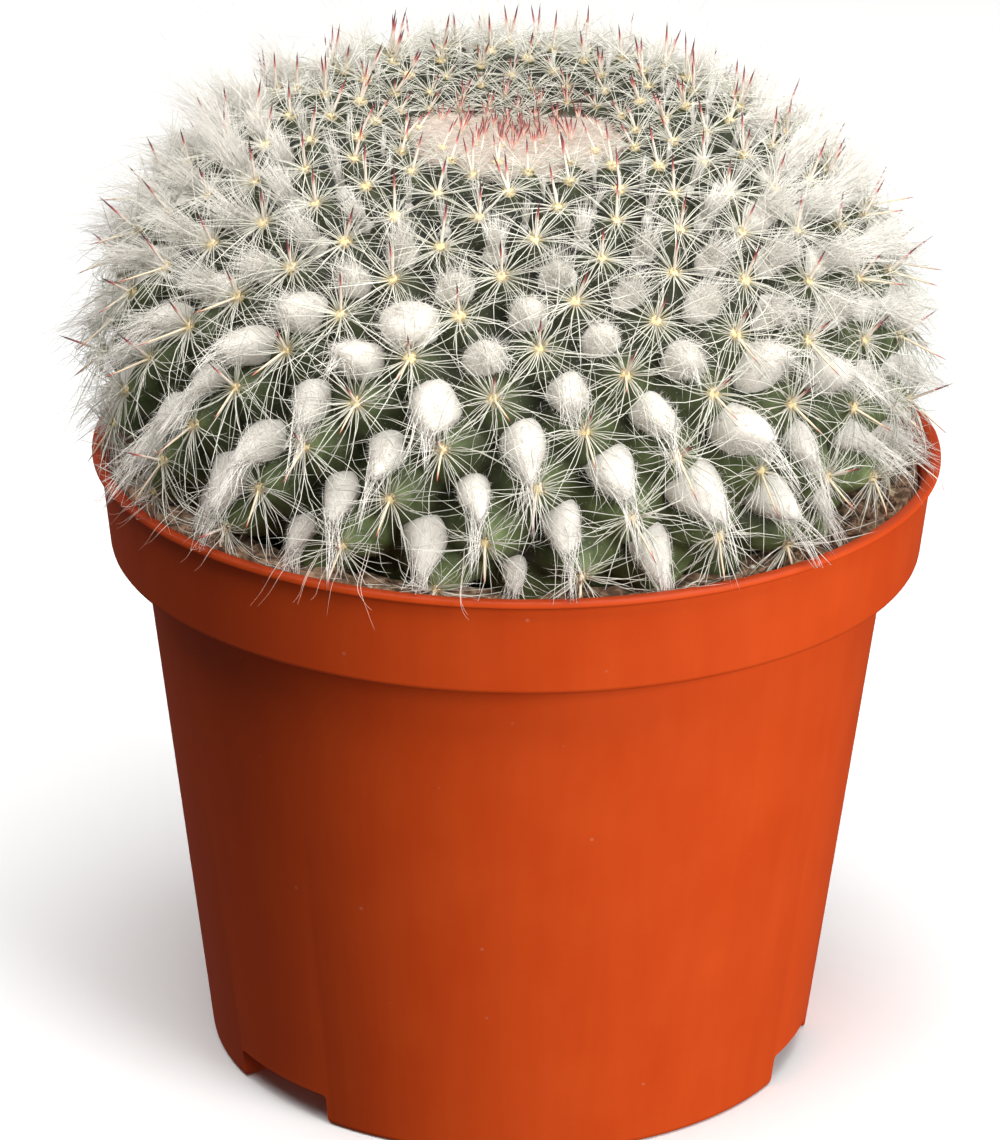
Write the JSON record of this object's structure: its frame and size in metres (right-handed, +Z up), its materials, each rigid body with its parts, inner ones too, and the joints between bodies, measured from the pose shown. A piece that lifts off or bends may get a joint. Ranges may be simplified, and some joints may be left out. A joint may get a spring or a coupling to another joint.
{
  "type": "potted round cactus",
  "caption": "Round, flat-topped cactus with white hair, wool tufts and red-tipped spines, in an orange-brown plastic nursery pot with a wide rim band and notched feet.",
  "frame": {"origin": "centre of the circle that the pot's feet stand on, at the surface below them", "axes": "+Z up along the pot's axis, -Y towards the side that the picture shows, +X to its right"},
  "size_m": [0.1369, 0.1363, 0.1489],
  "materials": {
    "pot_plastic": "satin",
    "potting_soil": "matte",
    "cactus_skin": "matte",
    "spines_and_wool": "matte"
  },
  "bodies": {
    "root": {"pot": "pot_plastic", "soil": "potting_soil", "cactus": "cactus_skin"}
  },
  "joints": []
}
